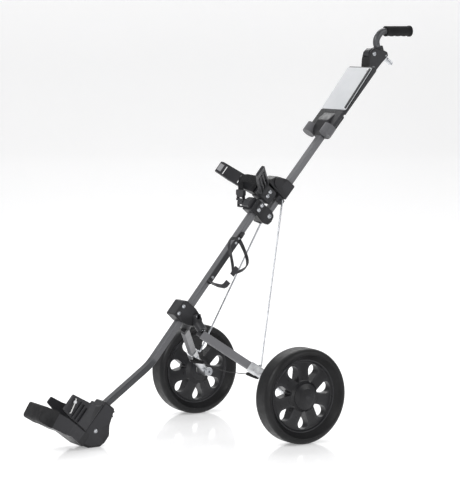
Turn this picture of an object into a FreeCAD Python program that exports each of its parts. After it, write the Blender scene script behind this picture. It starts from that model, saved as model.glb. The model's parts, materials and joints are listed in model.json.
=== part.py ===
import FreeCAD, Part
import math
import os

# Two-wheel folding golf pull cart. Millimetres, +Z up, +X towards the handle, +Y to the left.
# Left and right mirror each other about y = 0, apart from the foot cradle, the bottle cage,
# the strap and the small clamp hardware.
# Pieces on the lower tube are drawn in its own frame: (s, y, f), s up the tube, f to its front.
# Pieces on the upper tube are drawn from the fold pivot in the same way: (t, y, f).

V = FreeCAD.Vector

# driving dimensions
WHEEL_R = 127.0
TRACK_HALF = 265.0
TYRE_HALF = 32.0
AXLE_X = 53.0
AXLE_R = 5.0
LOWER_ANGLE = 49.8
UPPER_ANGLE = 48.7
SHAFT_X = -219.7
SHAFT_Z = 300.0
TUBE_W = 24.0
TUBE_T = 16.0
TUBE_WALL = 1.4
TUBE_TOP = 452.0
FOLD_S = 395.0
FOLD_F = -36.3
UPPER_LEN = 545.0
LEG_PIVOT = V(31.4, -29.4, -40.6)
LEG_AXIS = V(0.4385, 0.6810, 0.5864)
LEG_TOP = V(14.0, -44.0, -57.0)
LEG_END = V(8.0, -168.0, -198.0)
LEG_W = 22.0
LEG_T = 14.0
ROD_R = 2.4
ROD_TOP = V(453.0, -17.5, -38.6)
ROD_HOOK = V(25.3, -154.1, -198.4)
ROD_TIP = V(25.6, -156.3, -189.1)
ROD_AXIS = V(-0.0569, 0.9912, 0.1199)
CABLE_END = V(-2.0, -150.0, -200.0)
CABLE_SAG = 9.0
HANDLE_R = 9.5
GRIP_Z = 1077.0
GRIP_END_X = 552.0
STRAP_W = 25.0
SPOKE_HOLES = 7
FIT = 0.05


# ---------------------------------------------------------------- shape helpers

def box(x0, x1, y0, y1, z0, z1):
    return Part.makeBox(x1 - x0, y1 - y0, z1 - z0, V(x0, y0, z0))


def cyl(r, p, q):
    axis = V(q) - V(p)
    return Part.makeCylinder(r, axis.Length, V(p), axis)


def cone(r0, r1, p, q):
    axis = V(q) - V(p)
    return Part.makeCone(r0, r1, axis.Length, V(p), axis)


def join(*shapes):
    whole = shapes[0].multiFuse(list(shapes[1:]))
    return whole.removeSplitter()


def cut(shape, *tools):
    for tool in tools:
        shape = shape.cut(tool)
    return shape


def unit(v):
    out = V(v)
    out.normalize()
    return out


def corners(points, radii, close=True):
    """Wire through the points with rounded corners; radii is one number or one per point."""
    count = len(points)
    if not isinstance(radii, (list, tuple)):
        radii = [radii] * count
    edges = []
    first = None
    last = None
    for i in range(count):
        here = points[i]
        entry = here
        leave = here
        if radii[i] > 0.01 and (close or 0 < i < count - 1):
            back = unit(points[i - 1] - here)
            ahead = unit(points[(i + 1) % count] - here)
            half = back.getAngle(ahead) / 2.0
            reach = radii[i] / math.tan(half)
            entry = here + back * reach
            leave = here + ahead * reach
            inward = unit(back + ahead)
            middle = here + inward * (radii[i] / math.sin(half) - radii[i])
        if last is not None and (entry - last).Length > 1e-5:
            edges.append(Part.makeLine(last, entry))
        if first is None:
            first = entry
        if (entry - leave).Length > 1e-6:
            edges.append(Part.Arc(entry, middle, leave).toShape())
        last = leave
    if close and (first - last).Length > 1e-5:
        edges.append(Part.makeLine(last, first))
    return Part.Wire(edges)


def plate_y(points, y0, y1, radii=0.0):
    """Outline of (x, z) points carried from y0 to y1."""
    wire = corners([V(x, y0, z) for x, z in points], radii)
    return Part.Face(wire).extrude(V(0, y1 - y0, 0))


def plate_x(points, x0, x1, radii=0.0):
    """Outline of (y, z) points carried from x0 to x1."""
    wire = corners([V(x0, y, z) for y, z in points], radii)
    return Part.Face(wire).extrude(V(x1 - x0, 0, 0))


def plate_z(points, z0, z1, radii=0.0):
    """Outline of (x, y) points carried from z0 to z1."""
    wire = corners([V(x, y, z0) for x, y in points], radii)
    return Part.Face(wire).extrude(V(0, 0, z1 - z0))


def rect(x0, x1, y0, y1):
    return [(x0, y0), (x1, y0), (x1, y1), (x0, y1)]


def turn(profile, radii=0.0):
    """Revolve (radius, z) points about Z."""
    wire = corners([V(r, 0, z) for r, z in profile], radii)
    return Part.Face(wire).revolve(V(0, 0, 0), V(0, 0, 1), 360)


def bar(points, radius, bend):
    """Round bar along a path of points with bends of the given radius."""
    path = corners(points, bend, close=False)
    start = Part.Wire(Part.makeCircle(radius, points[0], points[1] - points[0]))
    return path.makePipeShell([start], True, True)


def ribbon(stations, width, thick):
    """Flat band through (centre, across, normal) stations."""
    wires = []
    for centre, across, normal in stations:
        a = unit(across) * (width / 2.0)
        n = unit(normal) * (thick / 2.0)
        ring = [centre - a - n, centre + a - n, centre + a + n, centre - a + n]
        wires.append(Part.makePolygon(ring + [ring[0]]))
    return Part.makeLoft(wires, True, True)


def largest(shape):
    """The biggest solid of a shape."""
    return max(shape.Solids, key=lambda solid: solid.Volume)


def mirror(shape):
    return shape.mirror(V(0, 0, 0), V(0, 1, 0))


def soften(shape, radius, low, high):
    """Round the edges whose middle lies inside the box from low to high."""
    chosen = []
    for edge in shape.Edges:
        c = edge.BoundBox.Center
        if all(a <= v <= b for a, v, b in zip(low, c, high)):
            chosen.append(edge)
    return shape.makeFillet(radius, chosen)


def screw(seat, tip, shank, head_r, head_h):
    """Domed screw: the head stands on seat, the shank runs to tip."""
    along = unit(V(tip) - V(seat))
    top = V(seat) - along * head_h
    curve = (head_r ** 2 + head_h ** 2) / (2.0 * head_h)
    dome = Part.makeSphere(curve, top + along * curve)
    head = Part.makeCylinder(head_r, head_h, top, along).common(dome)
    recess = Part.makeCylinder(head_r * 0.3, head_h * 0.45, top - along * 0.05, along)
    return cut(join(head, cyl(shank, seat, tip)), recess)


def hex_nut(face, along, across, height, hole):
    """Hexagonal nut standing on face, its length along the given direction."""
    d = unit(along)
    side = unit(d.cross(V(0.31, 0.17, 0.93)))
    other = d.cross(side)
    ring = []
    for k in range(7):
        a = math.radians(60 * k)
        ring.append(V(face) + (side * math.cos(a) + other * math.sin(a)) * (across / math.sqrt(3)))
    body = Part.Face(Part.makePolygon(ring)).extrude(d * height)
    return body.cut(cyl(hole, V(face) - d, V(face) + d * (height + 1)))


def rect_tube(path, width, thick, wall, corner):
    """Hollow rectangular tube along a path that starts along -X in the plane y = 0."""
    start = path.OrderedVertexes[0].Point
    skins = []
    for inset in (0.0, wall):
        w = width / 2.0 - inset
        t = thick / 2.0 - inset
        ring = [V(start.x, a * w, start.z + b * t) for a, b in ((-1, -1), (1, -1), (1, 1), (-1, 1))]
        wire = corners(ring, max(corner - inset, 0.6))
        skins.append(path.makePipeShell([wire], True, True))
    return skins[0].cut(skins[1])


# ---------------------------------------------------------------- frames

def frame_at(x, z, angle):
    return FreeCAD.Placement(V(x, 0, z), FreeCAD.Rotation(V(0, 1, 0), -angle))


LOWER = frame_at(SHAFT_X + AXLE_X, SHAFT_Z, LOWER_ANGLE)
FOLD_POINT = LOWER.multVec(V(FOLD_S, 0, FOLD_F))
UPPER = frame_at(FOLD_POINT.x, FOLD_POINT.z, UPPER_ANGLE)
WHEEL_RIGHT = FreeCAD.Placement(V(AXLE_X, -TRACK_HALF, WHEEL_R), FreeCAD.Rotation(V(1, 0, 0), 90))
LEG_DIR = unit(LEG_END - LEG_TOP)
AXLE_LOCAL = LOWER.inverse().multVec(V(AXLE_X, -TRACK_HALF, WHEEL_R))

parts = {}
frame_bolts = []
frame_screws = []
upper_screws = []


def put(name, shape, frame=None):
    """Store a finished piece in the object's frame."""
    placed = shape.copy()
    if frame is not None:
        placed.Placement = frame.multiply(placed.Placement)
    parts[name] = placed


def put_pair(name, shape, frame):
    """Store a right-hand piece and its left-hand mirror image."""
    placed = shape.copy()
    placed.Placement = frame.multiply(placed.Placement)
    parts[name + "_right"] = placed
    parts[name + "_left"] = mirror(placed)


def lower_channel(s0, s1, gap=0.0):
    w = TUBE_W / 2.0 + gap
    t = TUBE_T / 2.0 + gap
    return plate_x(rect(-w, w, -t, t), s0, s1, 3.0 + gap)


# ---------------------------------------------------------------- lower tube and foot

def lower_tube():
    path = corners([V(TUBE_TOP, 0, 0), V(-132, 0, 0), V(-292, 0, 44), V(-378, 0, 46)],
                   [0, 150.0, 90.0, 0], close=False)
    tube = rect_tube(path, TUBE_W, TUBE_T, TUBE_WALL, 3.0)
    solid = tube.fuse(path_core(path))
    put("lower_tube", cut(tube, *cross_holes(FRAME_BOLTS)), LOWER)
    return solid


def path_core(path):
    start = path.OrderedVertexes[0].Point
    w = TUBE_W / 2.0 - TUBE_WALL
    t = TUBE_T / 2.0 - TUBE_WALL
    ring = [V(start.x, a * w, start.z + b * t) for a, b in ((-1, -1), (1, -1), (1, 1), (-1, 1))]
    return path.makePipeShell([corners(ring, 1.6)], True, True)


# bolts that cross the frame along y: (s, f, radius)
BAG_BOLTS = ((447.0, 4.5, 2.5), (433.5, 3.7, 2.5))
HINGE_BOLTS = ((402.0, 3.0, 2.5), (386.5, 3.0, 2.5))
LEG_BOLTS = ((45.0, 26.0, 2.5), (22.0, 26.0, 2.5), (47.0, -24.0, 3.5))
FOOT_BOLT = (-366.0, 36.0, 2.5)
FRAME_BOLTS = BAG_BOLTS + HINGE_BOLTS + (FOOT_BOLT,)


def cross_holes(bolts, grow=0.0):
    return [cyl(r + grow, V(s, -60, f), V(s, 60, f)) for s, f, r in bolts]


def cross_bolts(bolts, half, head_r, head_h):
    made = []
    for s, f, r in bolts:
        bolt = screw(V(s, -half, f), V(s, half + 4.0, f), r, head_r, head_h)
        made.append(bolt)
    return made


def cross_nuts(bolts, half, across, height):
    return [hex_nut(V(s, half, f), V(0, 1, 0), across, height, r) for s, f, r in bolts]


def foot(tube_solid):
    heel = plate_y([(-288, 62), (-288, 24), (-330, 9), (-352, -8), (-376, -8), (-390.7, -2.5),
                    (-412.0, 22.7), (-423, 60), (-389, 66)], -27, 27,
                   [4, 6, 20, 14, 16, 2, 2, 6, 2])
    heel = soften(heel, 7.0, (-425, -27.5, -20), (-287, -26.5, 50))
    heel = soften(heel, 7.0, (-425, 26.5, -20), (-287, 27.5, 50))
    ribs = [plate_y([(s, 40), (s, 17 + k * 4), (s - 4, 15 + k * 4), (s - 4, 40)], -24, 24)
            for k, s in ((1, -293.0), (0, -305.0))]
    outline = [(-389, 46), (-389, 66), (-390, 133), (-395, 168), (-406, 207), (-441, 200),
               (-436, 160), (-428, 118), (-421, 96), (-421, 46)]
    radii = [0, 0, 60, 60, 4, 8, 30, 30, 20, 0]
    plan = [(40, -30), (70, -40), (110, -46), (190, -46), (212, -34), (212, 34), (190, 46),
            (110, 46), (70, 40), (40, 30)]
    scoop = plate_y(outline, -50, 50, radii)
    limit = plate_x([(y, f) for f, y in plan], -450, -380, [0, 20, 30, 12, 12, 12, 12, 30, 20, 0])
    scoop = scoop.common(limit)
    hollow_side = plate_y([(-380, 70), (-380, 202), (-437, 197), (-431, 160), (-423.5, 118),
                           (-416, 96), (-416, 70)], -50, 50, [0, 0, 6, 30, 30, 20, 0])
    hollow_plan = plate_x([(-32, 68), (-42, 110), (-42, 188), (-31, 206), (31, 206), (42, 188),
                           (42, 110), (32, 68)], -450, -370, 8.0)
    scoop = scoop.cut(hollow_side.common(hollow_plan))
    struts = [box(-432, -412, y - 1.5, y + 1.5, 60, 202).common(plate_y(outline, -50, 50))
              for y in (-21, 0, 21)]
    base = join(heel, scoop, *(struts + ribs))
    bore = [tube_solid] + cross_holes((FOOT_BOLT,))
    base = cut(base, *bore)
    put("foot_base", base, LOWER)

    cap_side = plate_y([(-391, 166), (-403, 211), (-444, 203), (-438, 160)], -60, 60, [3, 6, 10, 3])
    cap_plan = plate_x([(-49, 160), (-49, 190), (-36, 216), (36, 216), (49, 190), (49, 160)],
                       -450, -380, [0, 13, 13, 13, 13, 0])
    cap = cap_side.common(cap_plan)
    cap = cut(cap, scoop_envelope(outline, radii, limit))
    put("foot_toe_pad", cap, LOWER)

    bolts = cross_bolts((FOOT_BOLT,), 27.0, 6.0, 3.0)
    nuts = cross_nuts((FOOT_BOLT,), 27.0, 8.0, 4.0)
    frame_bolts.extend(bolts + nuts)
    foot_cradle()


def scoop_envelope(outline, radii, limit):
    """The scoop with its hollow filled."""
    solid = plate_y(outline, -50, 50, radii).common(limit)
    top = box(-400, -380, -39, 39, 60, 202)
    return solid.fuse(top)


def foot_cradle():
    """Saddle on the front of the heel with the arms that steady the bottom of the bag."""
    saddle = box(-384, -300, -30, 30, 62.2, 67)
    for sign in (-1, 1):
        saddle = soften(saddle, 1.5, (-385, sign * 30 - 0.5, 61), (-299, sign * 30 + 0.5, 68))
    tall = [(-302, 58), (-317, 84), (-333, 162), (-381, 162), (-384, 130), (-384, 58)]
    low = [(-302, 58), (-340, 92), (-352, 132), (-358, 166), (-377, 166), (-384, 126), (-384, 58)]
    arms = []
    for side, outline, radii in ((-1, tall, [2, 10, 3, 3, 6, 2]), (1, low, [2, 20, 20, 3, 3, 6, 2])):
        sweep = [(24, 62), (30, 62), (42, 100), (45, 170), (40, 170), (37, 101), (24, 67)]
        plan = plate_x([(side * y, f) for y, f in sweep], -390, -295, [0, 4, 20, 0, 0, 20, 0])
        arms.append(plate_y(outline, -60, 60, radii).common(plan))
    lip = box(-381, -333, -50, -44.4, 157, 162)
    ribs = [box(-381, -334 - k * 2, -47.5, -43.0, 126 - k * 12, 129 - k * 12) for k in range(3)]
    bar_ribs = [plate_y([(-358 - d, 100), (-358 - d, 163), (-361 - d, 163), (-361 - d, 100)], 42, 48)
                for d in (0, 7, 14)]
    cradle = join(saddle, arms[0], arms[1], lip, *(ribs + bar_ribs))
    cord_holes = [cyl(1.9, V(-338, -60, 150), V(-338, -30, 150)),
                  cyl(1.9, V(-376, -60, 140), V(-376, -30, 140))]
    screws = [V(-324, 0, 0), V(-350, 0, 0)]
    cradle = cut(cradle, *cord_holes)
    cradle = cut(cradle, *[cyl(1.6, p + V(0, 0, 60), p + V(0, 0, 70)) for p in screws])
    put("foot_cradle", cradle, LOWER)
    base = parts["foot_base"].cut(place(Part.makeCompound(
        [cyl(1.6, p + V(0, 0, 53), p + V(0, 0, 70)) for p in screws]), LOWER))
    parts["foot_base"] = base.cut(parts["foot_cradle"])
    fixings = [screw(p + V(0, 0, 67), p + V(0, 0, 54), 1.6, 4.0, 2.0) for p in screws]
    frame_screws.extend(fixings)

    cord = bar([V(-338, -35, 150), V(-338, -49.6, 150), V(-357, -50.4, 145), V(-376, -49.6, 140),
                V(-376, -35, 140)], 1.4, [0, 3.0, 20.0, 3.0, 0])
    knots = [cyl(3.2, V(s, -37.6, f), V(s, -34.0, f)) for s, f in ((-338, 150), (-376, 140))]
    put("elastic_cord", join(cord, *knots), LOWER)
    heading = unit(V(-19.0, -0.8, -5.0))
    middle = V(-346.5, -49.96, 147.76)
    bead = join(cone(2.6, 4.2, middle - heading * 4.0, middle - heading * 2.0),
                cyl(4.2, middle - heading * 2.0, middle + heading * 2.0),
                cone(4.2, 2.6, middle + heading * 2.0, middle + heading * 4.0))
    bead = bead.cut(cyl(1.45, middle - heading * 9, middle + heading * 9))
    put("cord_bead", bead, LOWER)


def place(shape, frame):
    placed = shape.copy()
    placed.Placement = frame.multiply(placed.Placement)
    return placed


def parts_local(name, frame):
    return place(parts[name], frame.inverse())


# ---------------------------------------------------------------- leg bracket

def leg_bracket():
    outline = [(10, 36), (56, 36), (63, 26), (63, -10), (54, -44), (40, -50), (28, -46), (12, -14),
               (8, 6)]
    half = plate_y(outline, -22, 0, [4, 4, 6, 14, 8, 8, 8, 12, 10])
    half = soften(half, 3.0, (-20, -22.5, -60), (80, -21.5, 60))
    inner = LEG_PIVOT + LEG_AXIS * 15.0
    boss = cyl(13.0, inner, LEG_PIVOT)
    web = hull_block(inner + V(10, 4, 8), LEG_PIVOT + LEG_AXIS * 3.0)
    half = join(half, boss, web)
    half = cut(half, box(-40, 120, 0, 60, -100, 100), lower_channel(-60, 120), *cross_holes(LEG_BOLTS))
    pin_hole = cyl(4.0, LEG_PIVOT + LEG_AXIS * 13.0, LEG_PIVOT - LEG_AXIS * 30.0)
    s, f, _ = LEG_BOLTS[2]
    head_room = cyl(6.0, V(s, -22.0, f), V(s, -45.0, f))
    half = cut(half, pin_hole, head_room)
    put_pair("leg_bracket", half, LOWER)

    bolts = cross_bolts(LEG_BOLTS, 22.0, 5.5, 2.6)
    nuts = cross_nuts(LEG_BOLTS, 22.0, 8.5, 4.0)
    frame_bolts.extend(bolts + nuts)
    pin = join(cyl(4.0, LEG_PIVOT + LEG_AXIS * 13.0, LEG_PIVOT - LEG_AXIS * 20.0),
               cyl(6.5, LEG_PIVOT - LEG_AXIS * 19.3, LEG_PIVOT - LEG_AXIS * 22.0))
    both = [pin, mirror(pin)]
    put("leg_hinge_pins", Part.makeCompound(both), LOWER)


def hull_block(p, q):
    """Tapered web between the bracket body and the hinge boss."""
    return cone(15.0, 12.6, p, q)


# ---------------------------------------------------------------- middle hinge

def fold_hinge():
    outline = [(371, 24), (409, 24), (410, -12), (411, -34), (404, -49), (386, -52), (374, -48),
               (368, -30), (371, -8)]
    block = plate_y(outline, -22, 22, [3, 3, 4, 12, 12, 10, 6, 8, 4])
    block = soften(block, 2.5, (360, -22.5, -60), (420, -21.5, 40))
    block = soften(block, 2.5, (360, 21.5, -60), (420, 22.5, 40))
    nose = plate_y([(376, 20), (376, 35), (392, 38), (408, 30), (408, 20)], -14, 14, [0, 4, 6, 4, 0])
    pad = [box(380, 408, y - 1.6, y + 1.6, -6, 12) for y in (-22.0, 22.0)]
    block = join(block, nose, *pad)
    slot = [box(340, 440, -12.3, 12.3, -80, FOLD_F + 9.0), cyl(16.2, V(FOLD_S, -12.3, FOLD_F),
                                                               V(FOLD_S, 12.3, FOLD_F))]
    slot.append(box(FOLD_S, 440, -12.3, 12.3, -60, FOLD_F + 16.2))
    holes = cross_holes(HINGE_BOLTS) + [cyl(4.0, V(FOLD_S, -60, FOLD_F), V(FOLD_S, 60, FOLD_F))]
    block = cut(block, lower_channel(340, 440), *(slot + holes))
    put("fold_hinge_block", block, LOWER)
    bolts = cross_bolts(HINGE_BOLTS, 23.6, 6.0, 3.0)
    nuts = cross_nuts(HINGE_BOLTS, 23.6, 8.5, 4.0)
    pivot = ((FOLD_S, FOLD_F, 4.0),)
    frame_bolts.extend(bolts + nuts)
    frame_bolts.extend(cross_bolts(pivot, 22.0, 6.8, 3.4) + cross_nuts(pivot, 22.0, 11.0, 5.0))


# ---------------------------------------------------------------- bag bracket at the top

def bag_bracket():
    outline = [(418, 24), (456, 27), (459, 20), (459, -12), (450, -17), (420, -17), (417, -8)]
    body = plate_y(outline, -22, 0, [5, 4, 3, 3, 4, 4, 4])
    body = soften(body, 3.0, (400, -22.5, -30), (470, -21.5, 40))
    plan = [(4, 22), (24, 22), (46, 44), (106, 112), (101, 117.5), (52, 62), (38, 49), (20, 40),
            (4, 36)]
    arm = plate_x([(-y, f) for y, f in plan], 421, 458, [0, 10, 30, 0, 2, 40, 20, 10, 0])
    taper = plate_y([(418, 15), (418, 40), (424, 116), (428, 122), (452, 122), (458, 112), (460, 60),
                     (459, 15)], -130, 10, [0, 20, 4, 3, 4, 10, 10, 0])
    arm = arm.common(taper)
    ribs = []
    for s in (428.0, 439.0, 450.0):
        rib = plate_x([(-24, 22), (-60, 50), (-92, 92), (-94, 100), (-44, 48), (-24, 26)],
                      s - 1.3, s + 1.3, [0, 10, 2, 2, 10, 0])
        ribs.append(rib)
    half = join(body, arm, *ribs)
    across = V(0, -0.662, 0.749)
    normal = V(0, 0.749, 0.662)
    window = []
    for reach in (22.0, 70.0):
        centre = V(440, -42, 46) + across * reach
        window.append(ribbon([(centre - normal * 14, V(1, 0, 0), across),
                              (centre + normal * 14, V(1, 0, 0), across)], STRAP_W + 2.0, 3.4))
    half = cut(half, lower_channel(400, 480), *(cross_holes(BAG_BOLTS) + window))
    put_pair("bag_bracket", half, LOWER)
    bolts = cross_bolts(BAG_BOLTS, 22.0, 6.0, 3.0)
    nuts = cross_nuts(BAG_BOLTS, 22.0, 8.5, 4.0)
    frame_bolts.extend(bolts + nuts)

    pads = []
    for side in (-1, 1):
        pad = ribbon([(V(429.5, side * 96.0, 110.6), V(0, side * 0.662, 0.749), V(0, -side * 0.749, 0.662)),
                      (V(450.5, side * 96.0, 110.6), V(0, side * 0.662, 0.749), V(0, -side * 0.749, 0.662))],
                     12.0, 3.0)
        pads.append(pad)
    blocks = [p.cut(place(parts["bag_bracket_" + n], LOWER.inverse())) for p, n in zip(pads, ("right", "left"))]
    put("bag_bracket_pads", Part.makeCompound(blocks), LOWER)


def strap_and_buckle():
    down = LOWER.inverse().Rotation.multVec(V(0, 0, -1))
    across_arm = V(0, -0.662, 0.749)
    slot = V(440, -42, 46) + across_arm * 22.0
    hang = V(436, 35.0, 72.0)
    rows = [(slot + V(0, -5, -4.4), V(1, 0, 0), across_arm),
            (slot + V(0, 6, 5.3), V(1, 0, 0), across_arm),
            (V(439, -36, 70), V(1, 0, 0), V(0, -0.25, 1)),
            (V(438, 10, 75), V(0.98, 0.1, 0), V(0, 0.08, 1)),
            (V(436, 26, 75.6), V(0.86, 0.5, 0), V(0.1, -0.1, 1)),
            (hang + down * 4, V(0.3, 0.95, 0.1), V(0.42, -0.1, 0.9)),
            (hang + down * 22, V(0.0, 1, 0), down.cross(V(0, 1, 0))),
            (hang + down * 43, V(0.0, 1, 0), down.cross(V(0, 1, 0)))]
    put("bag_strap", ribbon(rows, STRAP_W, 1.6), LOWER)

    top = LOWER.multVec(hang + down * 30)
    shell = plate_x(rect(-18, 18, -30, 0), -4.5, 4.5, 5.0)
    window = plate_x(rect(-12.5, 12.5, -24.5, -20.5), -10, 10, 1.5)
    throat = box(-1.3, 1.3, -13.2, 13.2, -17, 1)
    side = [plate_x([(sign * 20, -13), (sign * 20, -27), (sign * 14.5, -24), (sign * 14.5, -16)], -10, 10, 1.5)
            for sign in (-1, 1)]
    socket = cut(shell, window, throat, *side)
    tongue = join(plate_x(rect(-12.8, 12.8, -48, -31), -3.6, 3.6, 3.0),
                  plate_x([(-13, -31.5), (-15, -19), (-12, -14.5), (-8, -31.5)], -1.8, 1.8, 1.0),
                  plate_x([(13, -31.5), (15, -19), (12, -14.5), (8, -31.5)], -1.8, 1.8, 1.0))
    tongue = tongue.cut(plate_x(rect(-10.0, 10.0, -44, -40), -10, 10, 1.5))
    pocket = box(-2.6, 2.6, -15.6, 15.6, -31, -13.5)
    socket = socket.cut(pocket)
    frame = FreeCAD.Placement(V(top.x, top.y, top.z), FreeCAD.Rotation())
    put("buckle_socket", socket, frame)
    put("buckle_tongue", tongue, frame)


# ---------------------------------------------------------------- bottle cage

def bottle_cage():
    y0 = -TUBE_W / 2.0
    axis_y = y0 - 44.0
    reach = 38.5
    rail = plate_y([(140, -7), (140, 7), (300, 7), (306, 0), (300, -7)], y0 - 4.5, y0, [3, 3, 2, 4, 2])
    tab = plate_y([(296, -5), (296, 5), (312, 4), (312, -4)], y0 - 9.0, y0 - 1.5, [1, 1, 3, 3])
    bands = []
    for sign in (-1, 1):
        rows = []
        for k in range(13):
            a = math.radians(8 + k * 13.6)
            s = 286.0 - 96.0 * (k / 12.0) ** 1.3
            out = V(0, math.cos(a), sign * math.sin(a))
            rows.append((V(s, axis_y, 0) + out * reach, V(1, 0, 0), out))
        bands.append(ribbon(rows, 11.0, 3.4))
    front = []
    for k in range(9):
        a = math.radians(170 + k * 2.5)
        out = V(0, math.cos(a), math.sin(a))
        front.append((V(190, axis_y, 0) + out * reach, V(1, 0, 0), out))
    bridge = ribbon(front, 26.0, 3.4)
    seat = [(V(150, y0 - 2.0, 0), V(0, 0, 1), V(1, 0.2, 0)),
            (V(143, y0 - 12.0, 0), V(0, 0, 1), V(1, -0.3, 0)),
            (V(139, y0 - 45.0, 0), V(0, 0, 1), V(1, 0, 0)),
            (V(139, y0 - 76.0, 0), V(0, 0, 1), V(1, 0.1, 0)),
            (V(143, y0 - 83.5, 0), V(0, 0, 1), V(0.5, 1, 0)),
            (V(156, y0 - 86.0, 0), V(0, 0, 1), V(0, 1, 0))]
    shelf = ribbon(seat, 15.0, 3.6)
    cage = join(rail, tab, bands[0], bands[1], bridge, shelf)
    spots = (291.0, 276.0, 160.0)
    cage = cut(cage, *[cyl(2.0, V(s, y0 - 30, 0), V(s, y0 + 1, 0)) for s in spots])
    put("bottle_cage", cage, LOWER)
    fixings = [screw(V(s, y0 - 4.5, 0), V(s, y0 + 6.0, 0), 2.0, 4.2, 2.2) for s in spots]
    frame_screws.extend(fixings)
    parts["lower_tube"] = parts["lower_tube"].cut(
        place(Part.makeCompound([cyl(2.0, V(s, y0 - 5, 0), V(s, y0 + 3, 0)) for s in spots]), LOWER))


# ---------------------------------------------------------------- upper tube, collar, rods

def upper_tube():
    outer = plate_x(rect(-12, 12, -8, 8), -13, UPPER_LEN, 3.0)
    inner = plate_x(rect(-10.6, 10.6, -6.6, 6.6), -14, UPPER_LEN + 1, 1.6)
    rounding = join(cyl(13.0, V(0, -20, 0), V(0, 20, 0)), box(0, UPPER_LEN + 5, -20, 20, -20, 20))
    tube = outer.cut(inner).common(rounding)
    tube = cut(tube, cyl(6.0, V(0, -20, 0), V(0, 20, 0)))
    put("upper_tube", tube, UPPER)
    sleeve = cut(cyl(6.0, V(0, -12.0, 0), V(0, 12.0, 0)), cyl(4.0 + FIT, V(0, -20, 0), V(0, 20, 0)))
    put("fold_pivot_sleeve", sleeve, UPPER)


def to_upper(p):
    return UPPER.inverse().multVec(LOWER.multVec(p))


def rod_bracket():
    top = to_upper(ROD_TOP)
    axis = UPPER.inverse().Rotation.multVec(LOWER.Rotation.multVec(ROD_AXIS))
    body = plate_y([(48, 10.5), (48, -12), (52, -15), (63, -15), (65, -12), (65, 10.5)], -16, 16, 2.0)
    tube = plate_x(rect(-12, 12, -8, 8), 30, 80, 3.0)
    bore = cyl(ROD_R + FIT, top + axis * 4.6, top - axis * 20)
    body = cut(body, tube, bore, mirror(bore))
    put("rod_bracket", body, UPPER)


def collar():
    outline = [(66.5, -13), (66.5, 36), (68, 57), (80, 61), (98, 52), (112, 22), (114, 14), (114, -13)]
    hood = plate_y(outline, -22, 22, [3, 0, 4, 12, 10, 20, 4, 4])
    hood = soften(hood, 4.0, (60, -22.5, -20), (120, -21.5, 70))
    hood = soften(hood, 4.0, (60, 21.5, -20), (120, 22.5, 70))
    barrel = cyl(14.5, V(88, -25, 38), V(88, 25, 38))
    grips = [plate_y([(s, -14.5), (s, -11), (s + 2.5, -11), (s + 2.5, -14.5)], -16, 16) for s in (78, 86, 94, 102)]
    gap = 0.08
    tube = plate_x(rect(-12 - gap, 12 + gap, -8 - gap, 8 + gap), 50, 130, 3.0)
    pocket = plate_y([(60, 14), (60, 54), (78, 56), (90, 48), (96, 14)], -17, 17, [0, 0, 6, 6, 2])
    shape = cut(join(hood, barrel, *grips), pocket, tube)
    put("locking_collar", shape, UPPER)


def rods():
    start = ROD_TOP + ROD_AXIS * 4.0
    elbow = ROD_TOP - ROD_AXIS * 7.2
    rod = bar([start, elbow, ROD_HOOK, ROD_TIP], ROD_R, [0, 4.0, 3.5, 0])
    put_pair("push_rod", rod, LOWER)


# ---------------------------------------------------------------- legs and axles

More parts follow.
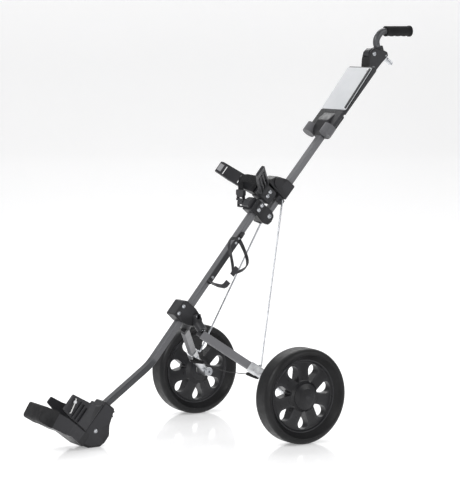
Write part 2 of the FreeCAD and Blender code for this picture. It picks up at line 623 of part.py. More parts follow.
def leg():
    side = unit(V(1, 0, 0) - LEG_DIR * LEG_DIR.x)
    over = side.cross(LEG_DIR)

    def section(at, w, t, r):
        c = LEG_TOP + LEG_DIR * at
        ring = [c + side * (a * w / 2) + over * (b * t / 2) for a, b in ((-1, -1), (1, -1), (1, 1), (-1, 1))]
        return Part.Face(corners(ring, r))

    length = (LEG_END - LEG_TOP).Length
    skin = section(0, LEG_W, LEG_T, 2.5).extrude(LEG_DIR * length)
    core = section(-1, LEG_W - 2.8, LEG_T - 2.8, 1.2).extrude(LEG_DIR * (length + 2))
    put_pair("leg_tube", skin.cut(core), LOWER)

    eye = cyl(13.0, LEG_PIVOT - LEG_AXIS * 0.4, LEG_PIVOT - LEG_AXIS * 19.0)
    neck = section(-14, LEG_W - 4, LEG_T, 2.0).extrude(LEG_DIR * 14)
    plug = section(-1, LEG_W - 2.8, LEG_T - 2.8, 1.2).extrude(LEG_DIR * 19)
    knuckle = join(eye, neck, plug)
    above = cyl(40.0, LEG_PIVOT - LEG_AXIS * 0.4, LEG_PIVOT + LEG_AXIS * 60.0)
    bore = cyl(4.0 + FIT, LEG_PIVOT + LEG_AXIS * 2, LEG_PIVOT - LEG_AXIS * 40)
    seat = cyl(7.2, LEG_PIVOT - LEG_AXIS * 18.9, LEG_PIVOT - LEG_AXIS * 40)
    knuckle = cut(knuckle, above, bore, seat)
    put_pair("leg_knuckle", knuckle, LOWER)

    inner = V(AXLE_LOCAL.x, -190.0, AXLE_LOCAL.z)
    outer = V(AXLE_LOCAL.x, -TRACK_HALF + TYRE_HALF - 2.0, AXLE_LOCAL.z)
    housing = cyl(12.5, inner, outer)
    shell = section(length - 34, LEG_W + 5, LEG_T + 5, 4.0).extrude(LEG_DIR * 46)
    arm_from = LEG_TOP + LEG_DIR * (length + 4)
    arm = Part.makeLoft([disc_wire(arm_from, LEG_DIR, 11.5), disc_wire((inner + outer) * 0.5, V(0, 0, -1), 11.5)],
                        True, True)
    body = join(shell, arm, housing)
    leg_room = section(length - 40, LEG_W, LEG_T, 2.5).extrude(LEG_DIR * 40)
    body = cut(body, cyl(AXLE_R, inner + V(0, 9, 0), outer - V(0, 9, 0)), leg_room)
    put_pair("axle_housing", body, LOWER)

    spin = V(0, -1, 0)
    stub = join(cyl(AXLE_R, inner - spin * 3.0, V(AXLE_LOCAL.x, -TRACK_HALF - 19.5, AXLE_LOCAL.z)),
                cut(cyl(10.5, inner - spin * 3.0, inner), cyl(4.0, inner - spin * 9, inner)))
    stub = cut(stub, cyl(3.0, inner - spin * 9, inner + spin * 4))
    clip = cyl(9.0, V(AXLE_LOCAL.x, -TRACK_HALF - 16.6, AXLE_LOCAL.z), V(AXLE_LOCAL.x, -TRACK_HALF - 18.2, AXLE_LOCAL.z))
    put_pair("axle", stub.fuse(clip).removeSplitter(), LOWER)

    head = LEG_TOP + LEG_DIR * (length + 2) + side * 3
    bolt = screw(head + over * 9.6, head - over * 6.0, 2.4, 5.5, 2.8)
    put_pair("rod_seat_bolt", bolt, LOWER)
    for side_name in ("right", "left"):
        for name in ("axle_housing_", "leg_tube_"):
            parts[name + side_name] = parts[name + side_name].cut(parts["rod_seat_bolt_" + side_name])


def disc_wire(centre, normal, radius):
    return Part.Wire(Part.makeCircle(radius, centre, normal))


def stay_cable():
    tip = CABLE_END + V(0, 38, 0)
    sleeve = join(cone(7.5, 4.4, CABLE_END - V(0, 4, 0), tip), cyl(7.5, CABLE_END - V(0, 14, 0), CABLE_END - V(0, 4, 0)))
    bore = cyl(2.0, CABLE_END, tip + V(0, 1, 0))
    sleeve = sleeve.cut(bore)
    for name in ("axle_housing_right", "leg_tube_right"):
        sleeve = sleeve.cut(parts_local(name, LOWER))
    put_pair("cable_sleeve", largest(sleeve), LOWER)
    left = V(tip.x, -tip.y, tip.z)
    down = LOWER.inverse().Rotation.multVec(V(0, 0, -1))
    reach = V(0, 8, 0)
    pts = [tip - reach, tip + V(0, 25, 0) + down * 2.5, V(tip.x, 0, tip.z) + down * CABLE_SAG,
           left - V(0, 25, 0) + down * 2.5, left + reach]
    put("stay_cable", bar(pts, 1.1, [0, 60, 300, 60, 0]), LOWER)


# ---------------------------------------------------------------- wheels

def teardrop(r_in, r_out, big, small, z0, z1):
    """Pointed hole with its wide end outward, on the +X axis."""
    far = r_out - big
    near = r_in + small
    lean = math.asin((big - small) / (far - near))
    pts = []
    for sign in (1, -1):
        nx = -math.sin(lean)
        ny = sign * math.cos(lean)
        pts.append((V(near + small * nx, small * ny, z0), V(far + big * nx, big * ny, z0)))
    (a1, a2), (b1, b2) = pts
    edges = [Part.makeLine(a1, a2), Part.Arc(a2, V(r_out, 0, z0), b2).toShape(), Part.makeLine(b2, b1),
             Part.Arc(b1, V(r_in, 0, z0), a1).toShape()]
    return Part.Face(Part.Wire(edges)).extrude(V(0, 0, z1 - z0))


def ring_of(shape, count):
    out = []
    for k in range(count):
        one = shape.copy()
        one.rotate(V(0, 0, 0), V(0, 0, 1), 360.0 / count * k + 360.0 / count / 4.0)
        out.append(one)
    return out


def wheel():
    tyre = turn([(97, -14), (105, -23), (112, -TYRE_HALF), (WHEEL_R, -TYRE_HALF), (WHEEL_R, TYRE_HALF),
                 (112, TYRE_HALF), (105, 23), (97, 14)], [1, 6, 6, 15, 15, 6, 6, 1])
    put("tyre_right", tyre, WHEEL_RIGHT)
    parts["tyre_left"] = parts["tyre_right"].translated(V(0, 2 * TRACK_HALF, 0))

    holes = ring_of(teardrop(40, 89, 16.0, 4.0, -60, 60), SPOKE_HOLES)
    walls = ring_of(teardrop(37, 92, 19.0, 7.0, -60, 60), SPOKE_HOLES)
    outer = turn([(8, 0), (97, 0), (97, 14.5), (94, 14.5), (90, 9), (42, 15), (34, 22), (8, 22)],
                 [0, 0, 0, 1.5, 3, 6, 2, 0])
    outer_void = turn([(30, -1), (94, -1), (94, 5.5), (42, 11.5), (30, 14)], [0, 0, 2, 2, 2])
    inner = turn([(8, 0), (97, 0), (97, -14.5), (94, -14.5), (90, -11), (42, -20), (30, -27), (8, -27)],
                 [0, 0, 0, 1.5, 3, 6, 4, 0])
    inner_void = turn([(26, 1), (94, 1), (94, -7.5), (42, -16.5), (26, -20)], [0, 0, 2, 2, 2])
    for name, shell, void in (("rim_outer", outer, outer_void), ("rim_inner", inner, inner_void)):
        hollow = cut(void, *walls)
        shape = cut(shell, hollow, *holes)
        put_pair(name, shape, WHEEL_RIGHT)

    cap = turn([(0, 28), (20, 27), (33, 22.2), (35.5, 22.2), (35.5, 24.5), (22, 31), (0, 33)],
               [0, 6, 0, 0, 2, 14, 0])
    clips = ring_of(box(14, 17, -4, 4, 22.1, 29), 3)
    put_pair("hub_cap", join(cap, *clips), WHEEL_RIGHT)
    bush = turn([(AXLE_R + FIT, 0), (8, 0), (8, 12.2), (11.5, 12.2), (11.5, 14), (AXLE_R + FIT, 14)])
    front = place(bush, FreeCAD.Placement(V(0, 0, 2.2), FreeCAD.Rotation()))
    back = place(bush, FreeCAD.Placement(V(0, 0, -14.8), FreeCAD.Rotation(V(1, 0, 0), 180)))
    seat = place(turn([(0, 14.4), (11.5, 14.4), (11.5, 30), (0, 30)]), WHEEL_RIGHT)
    parts["rim_outer_right"] = parts["rim_outer_right"].cut(seat)
    parts["rim_outer_left"] = parts["rim_outer_left"].cut(mirror(seat))
    pair = Part.makeCompound([front, back])
    put_pair("wheel_bushes", pair, WHEEL_RIGHT)


# ---------------------------------------------------------------- score console

def console():
    lift = math.radians(3.0)
    tray = plate_y([(352, 8), (352, 14), (358, 15.5), (512, 23.0), (516, 20), (512, 8)], -58, 58,
                   [2, 2, 3, 2, 3, 2])
    tray = soften(tray, 2.0, (340, -58.5, 0), (520, -57.5, 30))
    tray = soften(tray, 2.0, (340, 57.5, 0), (520, 58.5, 30))
    back_void = plate_y([(350, 4), (350, 11.5), (510, 19.5), (510, 4)], -55, 55)
    side_post = [box(352, 515, y - 1.5, y + 1.5, 8, 21).common(
        plate_y([(352, 8), (352, 12), (512, 20), (512, 8)], -60, 60)) for y in (-13.6, 13.6)]
    tray = join(tray.cut(back_void), *side_post)
    lower = plate_y([(278, -12), (276, 6), (286, 22), (318, 27), (352, 19), (360, 15), (360, -12)],
                    -30, 30, [8, 10, 10, 14, 4, 2, 4])
    lower = soften(lower, 7.0, (270, -30.5, -20), (340, -29.5, 40))
    lower = soften(lower, 7.0, (270, 29.5, -20), (340, 30.5, 40))
    wings = plate_x([(-56, 10), (56, 10), (56, 20), (-56, 20)], 300, 360, 4.0)
    strap = plate_y([(352, -12), (352, 12), (372, 12), (372, -12)], -16, 16, 3.0)
    tray = join(tray, lower, wings, strap)
    cups = []
    for y in (-40.0, 40.0):
        cup = cyl(18.0, V(276, y, 17), V(304, y, 17))
        well = join(cyl(15.6, V(283, y, 17), V(330, y, 17)))
        cups.append(cup.cut(well))
    wells = [cyl(18.0, V(260, y, 17), V(304, y, 17)) for y in (-40.0, 40.0)]
    tube = plate_x(rect(-12, 12, -8, 8), 250, 560, 3.0)
    screws = ((312.0, 1.0), (340.0, 1.0))
    holes = [cyl(2.0, V(t, -60, f), V(t, 60, f)) for t, f in screws]
    tray = cut(tray, tube, *(wells + holes))
    put("console_tray", tray, UPPER)
    put("ball_cups", Part.makeCompound(cups), UPPER)
    bolts = [screw(V(t, -30, f), V(t, 34, f), 2.0, 4.6, 2.4) for t, f in screws]
    nuts = [hex_nut(V(t, 30, f), V(0, 1, 0), 7.5, 3.2, 2.0) for t, f in screws]
    upper_screws.extend(bolts + nuts)
    parts["upper_tube"] = parts["upper_tube"].cut(place(Part.makeCompound(holes), UPPER))

    tilt = FreeCAD.Placement(V(363, 0, 16.0), FreeCAD.Rotation(V(0, 1, 0), -math.degrees(lift) + 0.2))
    card = plate_z(rect(0, 145, -56.5, 56.5), 0.3, 3.0, 5.0)
    put("score_plate", place(card, tilt), UPPER)
    rail = plate_z(rect(4, 141, -57.5, -51.5), 3.0, 6.6, 2.5)
    put("score_clip", place(rail, tilt), UPPER)
    stud = screw(V(134, -45, 3.0), V(134, -45, -0.5), 1.5, 3.2, 1.8)
    stud = place(stud, tilt)
    upper_screws.append(stud)
    stud_placed = place(stud, UPPER)
    parts["score_plate"] = parts["score_plate"].cut(stud_placed)
    parts["console_tray"] = parts["console_tray"].cut(stud_placed).cut(parts["score_plate"])


# ---------------------------------------------------------------- handle

def world(x, z, y=0.0):
    return V(x + AXLE_X, y, z)


def handle():
    pivot = UPPER.inverse().multVec(world(415.5, 1015.0))
    t0 = pivot.x
    f0 = pivot.z
    base = plate_y([(518, -12), (518, 12), (538, 27), (556, 36), (572, 34), (588, 10), (594, -8),
                    (588, -17), (560, -14)], -19, 19, [3, 3, 8, 8, 8, 6, 4, 4, 8])
    base = soften(base, 3.0, (510, -19.5, -30), (600, -18.5, 40))
    base = soften(base, 3.0, (510, 18.5, -30), (600, 19.5, 40))
    slot = join(box(552, 620, -10.4, 10.4, -7, 60), cyl(17.0, V(t0, -10.4, f0), V(t0, 10.4, f0)),
                box(t0 - 17.0, 620, -10.4, 10.4, f0, 60))
    lever_slot = box(574, 620, -5.6, 5.6, -30, 0)
    tube = plate_x(rect(-12, 12, -8, 8), 500, UPPER_LEN, 3.0)
    cam = V(582.5, 0, -10.5)
    holes = [cyl(3.0, V(t0, -40, f0), V(t0, 40, f0)), cyl(2.5, cam - V(0, 40, 0), cam + V(0, 40, 0)),
             cyl(2.0, V(530, -40, 0), V(530, 40, 0))]
    put("handle_clamp", cut(base, slot, lever_slot, tube, *holes), UPPER)
    parts["upper_tube"] = parts["upper_tube"].cut(
        place(cyl(2.0, V(530, -40, 0), V(530, 40, 0)), UPPER))

    bolt = [screw(V(t0, -19, f0), V(t0, 22.5, f0), 3.0, 6.5, 3.2), hex_nut(V(t0, 19, f0), V(0, 1, 0), 10.0, 4.6, 3.0)]
    fixing = [screw(V(530, -19, 0), V(530, 22, 0), 2.0, 4.6, 2.4), hex_nut(V(530, 19, 0), V(0, 1, 0), 7.5, 3.2, 2.0)]
    pin = cyl(2.5, cam - V(0, 19, 0), cam + V(0, 19, 0))
    put("handle_pins", Part.makeCompound(bolt + [pin]), UPPER)
    upper_screws.extend(fixing)

    blade = plate_y([(cam.x - 6.5, cam.z + 2), (cam.x + 6.0, cam.z + 4.5), (cam.x + 7.0, cam.z - 8),
                     (cam.x + 5.0, -50), (cam.x - 1.0, -51), (cam.x - 6.5, cam.z - 6)], -5.3, 5.3, [4, 4, 6, 3, 3, 5])
    paddle = plate_x([(-9, -26), (-9, -50), (9, -50), (9, -26)], cam.x + 1.5, cam.x + 6.5, 4.0)
    lever = cut(join(blade, paddle), cyl(2.5 + FIT, cam - V(0, 40, 0), cam + V(0, 40, 0)))
    put("cam_lever", lever, UPPER)

    path = [world(443.0, 1019.0), world(432.0, 1052.0), world(452.0, GRIP_Z), world(GRIP_END_X - 4.0, GRIP_Z)]
    bends = [0, 24.0, 22.0, 0]
    tube_out = bar(path, HANDLE_R, bends)
    tube_in = bar([path[0] + (path[0] - path[1]) * 0.05, path[1], path[2], path[3] + V(2, 0, 0)], HANDLE_R - 1.5, bends)
    put("handle_tube", tube_out.cut(tube_in))
    low = UPPER.inverse().multVec(path[0])
    nxt = UPPER.inverse().multVec(path[1])
    along = unit(nxt - low)
    disc = cyl(15.0, V(t0, -10.2, f0), V(t0, 10.2, f0))
    holder = plate_y(knuckle_outline(low, along, V(t0, 0, f0)), -10.2, 10.2, 2.0)
    reach = unit(low - V(t0, 0, f0))
    beside = V(reach.z, 0, -reach.x) * 8.0
    neck = [V(t0, 0, f0) + beside, low + beside, low - beside, V(t0, 0, f0) - beside]
    knuckle = join(disc, holder, plate_y([(p.x, p.z) for p in neck], -10.2, 10.2))
    knuckle = cut(knuckle, cyl(3.0 + FIT, V(t0, -40, f0), V(t0, 40, f0)),
                  place(tube_filled(path, bends), UPPER.inverse()))
    put("handle_knuckle", knuckle, UPPER)
    grip(path)


def tube_filled(path, bends):
    return bar(path, HANDLE_R, bends)


def knuckle_outline(low, along, pivot):
    side = V(along.z, 0, -along.x)
    a = low - along * 5 + side * 12
    b = low + along * 16 + side * 12
    c = low + along * 16 - side * 12
    d = low - along * 5 - side * 12
    pts = [a, b, c, d]
    if (pivot - a).Length < (pivot - d).Length:
        pts = [b, c, d, a]
    return [(p.x, p.z) for p in pts]


def grip(path):
    start = 466.0 + AXLE_X
    end = GRIP_END_X + AXLE_X
    length = end - start
    waves = 4
    upper = []
    lower = []
    count = 33
    for k in range(count):
        u = k / (count - 1.0)
        x = start + length * u
        swell = 1.3 * math.cos(2 * math.pi * waves * u)
        upper.append(V(x, 0, GRIP_Z + 14.4))
        lower.append(V(x, 0, GRIP_Z - 13.4 - swell))
    spline = Part.BSplineCurve()
    spline.interpolate(lower)
    outline = Part.Wire([Part.makeLine(upper[0], upper[-1]), Part.makeLine(upper[-1], lower[-1]),
                         spline.toShape(), Part.makeLine(lower[0], upper[0])])
    slab = Part.Face(outline).extrude(V(0, 40, 0))
    slab.translate(V(0, -20, 0))
    body = cyl(14.6, V(start, 0, GRIP_Z), V(end, 0, GRIP_Z))
    body = body.common(slab)
    collar_end = cyl(15.6, V(end - 5.0, 0, GRIP_Z), V(end, 0, GRIP_Z))
    tool = cyl(HANDLE_R, V(start - 5, 0, GRIP_Z), V(end + 5, 0, GRIP_Z))
    put("handle_grip", join(body, collar_end).cut(tool))
    plug = join(cyl(HANDLE_R - 1.5, V(end - 16, 0, GRIP_Z), V(end - 4.0, 0, GRIP_Z)),
                cyl(HANDLE_R, V(end - 4.0, 0, GRIP_Z), V(end - 2.5, 0, GRIP_Z)))
    put("grip_plug", plug)


def build():
    tube_solid = lower_tube()
    foot(tube_solid)
    leg_bracket()
    fold_hinge()
    bag_bracket()
    strap_and_buckle()
    upper_tube()
    rod_bracket()
    collar()
    rods()
    leg()
    stay_cable()
    bottle_cage()
    wheel()
    console()
    handle()
    put("frame_bolts", Part.makeCompound(frame_bolts), LOWER)
    put("frame_screws", Part.makeCompound(frame_screws), LOWER)
    put("upper_screws", Part.makeCompound(upper_screws), UPPER)
    os.makedirs("parts", exist_ok=True)
    for name in sorted(parts):
        parts[name].exportStep("parts/" + name + ".step")


build()
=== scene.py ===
import json
import math

import bpy
import numpy as np
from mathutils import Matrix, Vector


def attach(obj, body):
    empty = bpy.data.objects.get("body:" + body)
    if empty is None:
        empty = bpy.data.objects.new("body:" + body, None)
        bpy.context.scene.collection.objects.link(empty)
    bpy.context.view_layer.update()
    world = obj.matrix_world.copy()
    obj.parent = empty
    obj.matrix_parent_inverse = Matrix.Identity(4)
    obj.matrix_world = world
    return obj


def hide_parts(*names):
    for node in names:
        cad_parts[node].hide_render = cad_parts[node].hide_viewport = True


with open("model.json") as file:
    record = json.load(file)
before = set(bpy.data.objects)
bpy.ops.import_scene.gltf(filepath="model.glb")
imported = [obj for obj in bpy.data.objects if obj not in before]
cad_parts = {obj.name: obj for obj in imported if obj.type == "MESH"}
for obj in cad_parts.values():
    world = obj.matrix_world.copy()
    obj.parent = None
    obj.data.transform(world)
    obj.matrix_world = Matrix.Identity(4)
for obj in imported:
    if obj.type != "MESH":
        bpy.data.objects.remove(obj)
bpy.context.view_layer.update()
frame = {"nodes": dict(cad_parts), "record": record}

# camera of the reference view in the object's frame: degrees, metres, lens and sensor in mm
VIEW_TURN = -32.685
VIEW_DOWN = 6.168
VIEW_FROM = (-3.1106, -4.8514, 1.1135)
VIEW_LENS = 154.49
VIEW_SENSOR = 36.0
VIEW_END = 100.0

# paler sharp edges, partly real wear and partly a painted highlight: where the pointiness starts and ends
# to show
EDGE_WEAR_AND_HIGHLIGHT_FROM = 0.51
EDGE_WEAR_AND_HIGHLIGHT_FULL = 0.60

# sockets of a Mix node set to colour
MIX_FACTOR, MIX_A, MIX_B, MIX_RESULT = 0, 6, 7, 2

# softened CAD edges
BEVEL_STEPS = 2
BEVEL_ANGLE = math.radians(38.0)

# wire rope in metres; the twist is in radians for each step along it
ROPE_RADIUS = 0.00115
ROPE_SIDES = 18
ROPE_STRANDS = 6
ROPE_STRAND_DEPTH = 0.10
ROPE_TWIST = 0.16
ROPE_STEPS = 260
ROPE_STATIONS = 9
ROPE_REACH = 0.02
ROPE_SPREAD = 0.006

# rolled edge of the strap, in metres
SELVEDGE_RADIUS = 0.00035
SELVEDGE_SIDES = 6
SELVEDGE_ANGLE = math.radians(50.0)
SELVEDGE_SHORTEST = 0.002

# backdrop in metres, measured along the view from the object
SWEEP_NEAR = -8.0
SWEEP_BEND = 4.5
SWEEP_RADIUS = 1.6
SWEEP_TOP = 6.0
SWEEP_SIDE = 9.0
SWEEP_STEPS = 12
SWEEP_GLOW = 0.30
WORLD_LIGHT = 0.42

# lamps: name, place to the right, away and up in metres, size in metres, watts
LAMPS = (("key", -2.6, -2.2, 3.2, 2.2, 105.0),
         ("fill", 3.2, -1.6, 2.2, 2.4, 45.0),
         ("back", 0.0, 2.4, 3.6, 3.0, 110.0),
         ("front", 0.0, -4.5, 1.2, 2.5, 40.0))
LAMP_AIM = Vector((0, 0, 0.5))


# ---------------------------------------------------------------- materials

class Surface:
    """A procedural material built on one Principled shader."""

    def __init__(self, name, rough, metal=0.0, specular=0.5, coat=0.0):
        self.material = bpy.data.materials.new(name)
        self.material.use_nodes = True
        self.tree = self.material.node_tree
        self.shader = self.tree.nodes["Principled BSDF"]
        self.shader.inputs["Roughness"].default_value = rough
        self.shader.inputs["Metallic"].default_value = metal
        self.shader.inputs["Specular IOR Level"].default_value = specular
        self.shader.inputs["Coat Weight"].default_value = coat
        self.place = self.tree.nodes.new("ShaderNodeTexCoord").outputs["Object"]
        self.height = None

    def node(self, kind, **values):
        made = self.tree.nodes.new(kind)
        for key, value in values.items():
            made.inputs[key].default_value = value
        return made

    def link(self, a, b):
        self.tree.links.new(a, b)

    def stretched(self, scale, turn=(0.0, 0.0, 0.0)):
        mapping = self.node("ShaderNodeMapping", Scale=scale, Rotation=turn)
        self.link(self.place, mapping.inputs["Vector"])
        return mapping.outputs["Vector"]

    def noise(self, scale, detail=4.0, where=None):
        made = self.node("ShaderNodeTexNoise", Scale=scale, Detail=detail)
        self.link(where or self.place, made.inputs["Vector"])
        return made.outputs["Fac"]

    def wave(self, scale, where, distortion=0.0):
        made = self.node("ShaderNodeTexWave", Scale=scale, Distortion=distortion)
        self.link(where, made.inputs["Vector"])
        return made.outputs["Fac"]

    def spread(self, value, low, high, out_low, out_high):
        made = self.tree.nodes.new("ShaderNodeMapRange")
        made.inputs["From Min"].default_value = low
        made.inputs["From Max"].default_value = high
        made.inputs["To Min"].default_value = out_low
        made.inputs["To Max"].default_value = out_high
        self.link(value, made.inputs["Value"])
        return made.outputs["Result"]

    def colours(self, value, stops):
        ramp = self.tree.nodes.new("ShaderNodeValToRGB")
        band = ramp.color_ramp
        while len(band.elements) < len(stops):
            band.elements.new(0.5)
        for element, (at, tone) in zip(band.elements, stops):
            element.position = at
            element.color = (*tone, 1.0)
        self.link(value, ramp.inputs["Fac"])
        self.link(ramp.outputs["Color"], self.shader.inputs["Base Color"])

    def rough(self, value, low, high):
        self.link(self.spread(value, 0.3, 0.7, low, high), self.shader.inputs["Roughness"])

    def bump(self, value, depth, strength=1.0):
        made = self.node("ShaderNodeBump", Distance=depth, Strength=strength)
        self.link(value, made.inputs["Height"])
        if self.height is not None:
            self.link(self.height, made.inputs["Normal"])
        self.height = made.outputs["Normal"]
        self.link(self.height, self.shader.inputs["Normal"])

    def edges(self, tone, amount):
        """Paler colour where the surface turns sharply: partly wear, partly a painted highlight."""
        made = self.tree.nodes.new("ShaderNodeNewGeometry")
        worn_and_highlit = self.spread(made.outputs["Pointiness"], EDGE_WEAR_AND_HIGHLIGHT_FROM, EDGE_WEAR_AND_HIGHLIGHT_FULL, 0.0, amount)
        mix = self.tree.nodes.new("ShaderNodeMix")
        mix.data_type = "RGBA"
        old = self.shader.inputs["Base Color"].links[0].from_socket
        self.link(worn_and_highlit, mix.inputs[MIX_FACTOR])
        self.link(old, mix.inputs[MIX_A])
        mix.inputs[MIX_B].default_value = (*tone, 1.0)
        self.link(mix.outputs[MIX_RESULT], self.shader.inputs["Base Color"])


def painted():
    s = Surface("painted_tube", 0.34, metal=0.2, specular=0.4, coat=0.08)
    cloud = s.noise(9.0)
    s.colours(cloud, [(0.3, (0.040, 0.041, 0.045)), (0.7, (0.062, 0.064, 0.069))])
    # sharp edges lightened: partly wear, partly a painted highlight
    s.edges((0.19, 0.19, 0.20), 0.6)
    s.rough(s.noise(60.0), 0.28, 0.40)
    s.bump(s.noise(900.0, 2.0), 0.00006, 0.4)
    return s.material


def moulded(name, dark, light, grain=0.00012, rough=(0.42, 0.58)):
    s = Surface(name, 0.5, specular=0.28)
    s.colours(s.noise(14.0), [(0.3, dark), (0.7, light)])
    # sharp edges lightened from the light tone: partly wear, partly a painted highlight
    s.edges(tuple(min(1.0, c * 2.2 + 0.01) for c in light), 0.5)
    s.rough(s.noise(80.0), *rough)
    s.bump(s.noise(1600.0, 3.0), grain, 0.5)
    return s.material


def rubber(name, tone, dust, grain, waves=None):
    s = Surface(name, 0.72, specular=0.22)
    s.colours(s.noise(25.0), [(0.35, tone), (0.75, dust)])
    s.rough(s.noise(120.0), 0.62, 0.82)
    s.bump(s.noise(700.0, 5.0), grain, 0.6)
    if waves:
        s.bump(s.wave(waves, s.stretched((1.0, 0.02, 0.02))), 0.0004, 0.6)
    return s.material


def tyre_rubber():
    """Smooth tyre with fine circumferential lines on its sides."""
    s = Surface("tyre", 0.6, specular=0.25)
    s.colours(s.noise(18.0), [(0.3, (0.005, 0.005, 0.0055)), (0.75, (0.011, 0.011, 0.012))])
    s.rough(s.noise(90.0), 0.36, 0.52)
    s.bump(s.noise(500.0, 4.0), 0.00012, 0.5)
    s.bump(s.wave(70.0, s.stretched((0.0, 1.0, 0.0))), 0.00012, 0.4)
    return s.material


def bright(name, light, dark, stretch, rough=(0.2, 0.34)):
    s = Surface(name, 0.25, metal=1.0)
    streak = s.noise(180.0, 3.0, s.stretched(stretch))
    s.colours(streak, [(0.3, dark), (0.7, light)])
    s.rough(streak, *rough)
    s.bump(streak, 0.00002, 0.4)
    return s.material


def webbing():
    s = Surface("woven_strap", 0.85, specular=0.2)
    warp = s.wave(260.0, s.stretched((1.0, 1.0, 1.0), (0.0, math.radians(49.8), 0.0)))
    weft = s.wave(330.0, s.stretched((1.0, 1.0, 1.0), (0.0, 0.0, math.radians(90.0))))
    mixed = s.tree.nodes.new("ShaderNodeMath")
    mixed.operation = "MULTIPLY"
    s.link(warp, mixed.inputs[0])
    s.link(weft, mixed.inputs[1])
    s.colours(mixed.outputs[0], [(0.1, (0.004, 0.004, 0.0045)), (0.8, (0.022, 0.022, 0.024))])
    s.bump(mixed.outputs[0], 0.0003, 0.8)
    s.bump(s.noise(2500.0), 0.00008, 0.4)
    return s.material


def braided(name, dark, light, scale):
    s = Surface(name, 0.7, specular=0.3)
    one = s.wave(scale, s.stretched((1.0, 1.0, 1.0), (0.6, 0.3, 0.8)))
    s.colours(one, [(0.2, dark), (0.8, light)])
    s.bump(one, 0.0003, 0.7)
    return s.material


def plate():
    s = Surface("score_plate", 0.35, specular=0.5)
    s.colours(s.noise(10.0), [(0.3, (0.60, 0.62, 0.64)), (0.7, (0.70, 0.71, 0.73))])
    s.rough(s.noise(50.0), 0.28, 0.45)
    s.shader.inputs["Transmission Weight"].default_value = 0.25
    s.shader.inputs["Subsurface Weight"].default_value = 0.2
    s.shader.inputs["Subsurface Radius"].default_value = (0.004, 0.004, 0.004)
    s.bump(s.noise(600.0), 0.00005, 0.4)
    return s.material


BLACK = (0.007, 0.007, 0.008)
WORN_BLACK = (0.014, 0.014, 0.016)
LOOKS = {
    "tube_paint": painted(),
    "dark_plastic": moulded("dark_plastic", BLACK, WORN_BLACK, rough=(0.34, 0.50)),
    "rim_plastic": moulded("rim_plastic", BLACK, WORN_BLACK, rough=(0.26, 0.38)),
    "grey_plastic": moulded("grey_plastic", (0.34, 0.35, 0.37), (0.45, 0.46, 0.48)),
    "cup_plastic": moulded("cup_plastic", (0.035, 0.035, 0.038), (0.060, 0.060, 0.064)),
    "pad_plastic": moulded("pad_plastic", (0.10, 0.10, 0.105), (0.15, 0.15, 0.155)),
    "bush_nylon": moulded("bush_nylon", (0.55, 0.54, 0.50), (0.66, 0.65, 0.60)),
    "tyre_rubber": tyre_rubber(),
    "toe_rubber": rubber("toe_rubber", (0.010, 0.010, 0.011), (0.022, 0.022, 0.023), 0.0002),
    "grip_rubber": rubber("grip_rubber", (0.005, 0.005, 0.0055), (0.012, 0.012, 0.013), 0.00025, 140.0),
    "bright_steel": bright("bright_steel", (0.46, 0.47, 0.49), (0.30, 0.31, 0.33), (1.0, 1.0, 0.2)),
    "ferrule_alloy": bright("ferrule_alloy", (0.72, 0.73, 0.74),
                            (0.52, 0.53, 0.55), (0.3, 1.0, 1.0), (0.26, 0.42)),
    "lever_silver": bright("lever_silver", (0.62, 0.63, 0.65),
                           (0.44, 0.45, 0.47), (1.0, 0.3, 0.3), (0.3, 0.45)),
    "score_white": plate(),
    "strap_web": webbing(),
    "cord_white": braided("cord_white", (0.50, 0.50, 0.49), (0.78, 0.78, 0.76), 420.0),
    "cable_black": braided("cable_black", (0.010, 0.010, 0.010), (0.050, 0.050, 0.052), 500.0),
}


def dress(obj, look):
    obj.data.materials.clear()
    obj.data.materials.append(look)


BEVELS = {"tube_paint": 0.0005, "dark_plastic": 0.0005, "grey_plastic": 0.0004, "bright_steel": 0.00025,
          "ferrule_alloy": 0.0005, "lever_silver": 0.0005, "rim_plastic": 0.0004}

slots = {part["node"]: part["material_slot"] for part in frame["record"]["subparts"]}
OWN_LOOKS = {"ball_cups": "cup_plastic", "bag_bracket_pads": "pad_plastic"}
for name, obj in frame["nodes"].items():
    dress(obj, LOOKS[OWN_LOOKS.get(name, slots[name])])
    width = BEVELS.get(slots[name])
    if width:
        edge = obj.modifiers.new("soft edge", "BEVEL")
        edge.width = width
        edge.segments = BEVEL_STEPS
        edge.limit_method = "ANGLE"
        edge.angle_limit = BEVEL_ANGLE
        edge.use_clamp_overlap = True


# ---------------------------------------------------------------- made pieces

def mesh_object(name, verts, faces, look):
    mesh = bpy.data.meshes.new(name)
    mesh.from_pydata([tuple(v) for v in verts], [], faces)
    mesh.materials.append(look)
    mesh.polygons.foreach_set("use_smooth", [True] * len(faces))
    mesh.update()
    obj = bpy.data.objects.new(name, mesh)
    bpy.context.scene.collection.objects.link(obj)
    return obj


def smooth_path(points, count):
    """Catmull-Rom curve through the points."""
    pts = [Vector(p) for p in points]
    pts = [pts[0] * 2 - pts[1]] + pts + [pts[-1] * 2 - pts[-2]]
    out = []
    spans = len(pts) - 3
    for k in range(count):
        u = spans * k / (count - 1.0)
        i = min(int(u), spans - 1)
        t = u - i
        a, b, c, d = pts[i:i + 4]
        out.append(0.5 * (b * 2 + (c - a) * t + (a * 2 - b * 5 + c * 4 - d) * t * t
                          + (b * 3 - a - c * 3 + d) * t ** 3))
    return out


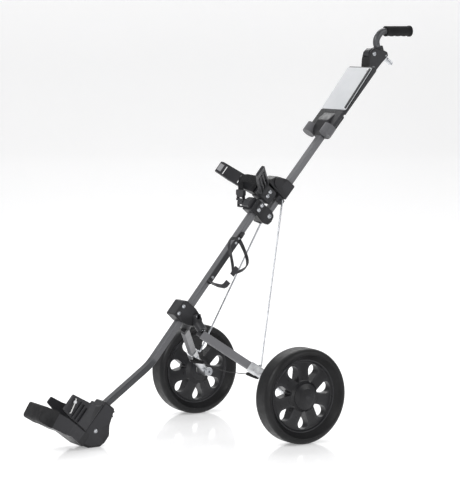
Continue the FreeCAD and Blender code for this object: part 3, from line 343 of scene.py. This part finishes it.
def laid_rope(name, points, look):
    """Twisted strands swept along the points."""
    verts = []
    faces = []
    sides = ROPE_SIDES
    up = Vector((0.13, 0.31, 0.94)).normalized()
    for k, p in enumerate(points):
        ahead = points[min(k + 1, len(points) - 1)] - points[max(k - 1, 0)]
        ahead.normalize()
        side = ahead.cross(up).normalized()
        over = side.cross(ahead)
        for j in range(sides):
            a = 2 * math.pi * j / sides
            strand = ROPE_STRAND_DEPTH * math.cos(ROPE_STRANDS * (a + ROPE_TWIST * k))
            verts.append(p + (side * math.cos(a) + over * math.sin(a)) * (ROPE_RADIUS * (1.0 + strand)))
        if k:
            low = (k - 1) * sides
            for j in range(sides):
                n = (j + 1) % sides
                faces.append((low + j, low + n, low + sides + n, low + sides + j))
    faces.append(tuple(range(sides))[::-1])
    faces.append(tuple(range(len(verts) - sides, len(verts))))
    return mesh_object(name, verts, faces, look)


def node_points(name):
    """All corners of a CAD node, as an array."""
    mesh = frame["nodes"][name].data
    co = np.zeros(len(mesh.vertices) * 3)
    mesh.vertices.foreach_get("co", co)
    return co.reshape(-1, 3)


def stay_cable():
    """Laid wire rope along the middle of the CAD cable."""
    cad = node_points("stay_cable")
    stations = []
    for y in np.linspace(cad[:, 1].min(), cad[:, 1].max(), ROPE_STATIONS):
        near = cad[np.abs(cad[:, 1] - y) < ROPE_REACH]
        if len(near):
            weight = np.exp(-((near[:, 1] - y) / ROPE_SPREAD) ** 2) + 1e-9
            middle = (near * weight[:, None]).sum(0) / weight.sum()
            stations.append((middle[0], y, middle[2]))
    rope = laid_rope("stay_cable_rope", smooth_path(stations, ROPE_STEPS), LOOKS["cable_black"])
    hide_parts("stay_cable")
    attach(rope, "cable")


def strap_edges():
    """Rolled selvedges along the strap's long sharp edges."""
    mesh = frame["nodes"]["bag_strap"].data
    seen = {}
    for poly in mesh.polygons:
        for key in poly.edge_keys:
            seen.setdefault(key, []).append(poly.normal.copy())
    sharp = [key for key, normals in seen.items()
             if len(normals) == 2 and normals[0].angle(normals[1]) > SELVEDGE_ANGLE]
    verts = []
    faces = []
    for a, b in sharp:
        p, q = mesh.vertices[a].co, mesh.vertices[b].co
        if (q - p).length < SELVEDGE_SHORTEST:
            continue
        ahead = (q - p).normalized()
        side = ahead.cross(Vector((0.3, 0.2, 0.9))).normalized()
        over = side.cross(ahead)
        base = len(verts)
        for point in (p, q):
            for k in range(SELVEDGE_SIDES):
                turn = 2 * math.pi * k / SELVEDGE_SIDES
                verts.append(point + (side * math.cos(turn) + over * math.sin(turn)) * SELVEDGE_RADIUS)
        far = base + SELVEDGE_SIDES
        for k in range(SELVEDGE_SIDES):
            n = (k + 1) % SELVEDGE_SIDES
            faces.append((base + k, base + n, far + n, far + k))
    selvedge = mesh_object("strap_selvedge", verts, faces, LOOKS["strap_web"])
    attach(selvedge, "frame")


strap_edges()
stay_cable()


# ---------------------------------------------------------------- studio

def studio():
    """Pale sweep behind the object and four soft lamps round it."""
    turn = math.radians(VIEW_TURN)
    right = Vector((math.cos(turn), math.sin(turn), 0.0))
    away = Vector((-math.sin(turn), math.cos(turn), 0.0))
    profile = [(SWEEP_NEAR, 0.0), (SWEEP_BEND, 0.0)]
    for k in range(1, SWEEP_STEPS + 1):
        a = math.radians(90.0 * k / SWEEP_STEPS)
        profile.append((SWEEP_BEND + SWEEP_RADIUS * math.sin(a), SWEEP_RADIUS - SWEEP_RADIUS * math.cos(a)))
    profile.append((SWEEP_BEND + SWEEP_RADIUS, SWEEP_TOP))
    verts = []
    faces = []
    for k, (d, z) in enumerate(profile):
        for side in (-SWEEP_SIDE, SWEEP_SIDE):
            verts.append(right * side + away * d + Vector((0, 0, z)))
        if k:
            faces.append((2 * k - 2, 2 * k - 1, 2 * k + 1, 2 * k))
    floor = Surface("studio_floor", 0.1, specular=0.6)
    floor.colours(floor.noise(0.6), [(0.3, (0.83, 0.83, 0.835)), (0.7, (0.86, 0.86, 0.865))])
    floor.rough(floor.noise(1.5), 0.07, 0.11)
    floor.shader.inputs["Emission Color"].default_value = (1.0, 1.0, 1.0, 1.0)
    floor.shader.inputs["Emission Strength"].default_value = SWEEP_GLOW
    sweep = mesh_object("studio_sweep", verts, faces, floor.material)

    for name, to_right, to_away, height, size, power in LAMPS:
        at = right * to_right + away * to_away + Vector((0, 0, height))
        data = bpy.data.lights.new(name, "AREA")
        data.shape = "SQUARE"
        data.size = size
        data.energy = power
        lamp = bpy.data.objects.new(name, data)
        lamp.location = at
        lamp.rotation_euler = (LAMP_AIM - at).to_track_quat("-Z", "Y").to_euler()
        bpy.context.scene.collection.objects.link(lamp)
    world = bpy.data.worlds.new("studio")
    world.use_nodes = True
    world.node_tree.nodes["Background"].inputs["Color"].default_value = (1.0, 1.0, 1.0, 1.0)
    world.node_tree.nodes["Background"].inputs["Strength"].default_value = WORLD_LIGHT
    bpy.context.scene.world = world
    bpy.context.scene.view_settings.view_transform = "Standard"


def camera():
    data = bpy.data.cameras.new("camera")
    data.sensor_width = VIEW_SENSOR
    data.lens = VIEW_LENS
    data.clip_end = VIEW_END
    cam = bpy.data.objects.new("camera", data)
    cam.location = VIEW_FROM
    cam.rotation_euler = (math.radians(90.0 - VIEW_DOWN), 0.0, math.radians(VIEW_TURN))
    bpy.context.scene.collection.objects.link(cam)
    bpy.context.scene.camera = cam


studio()
camera()
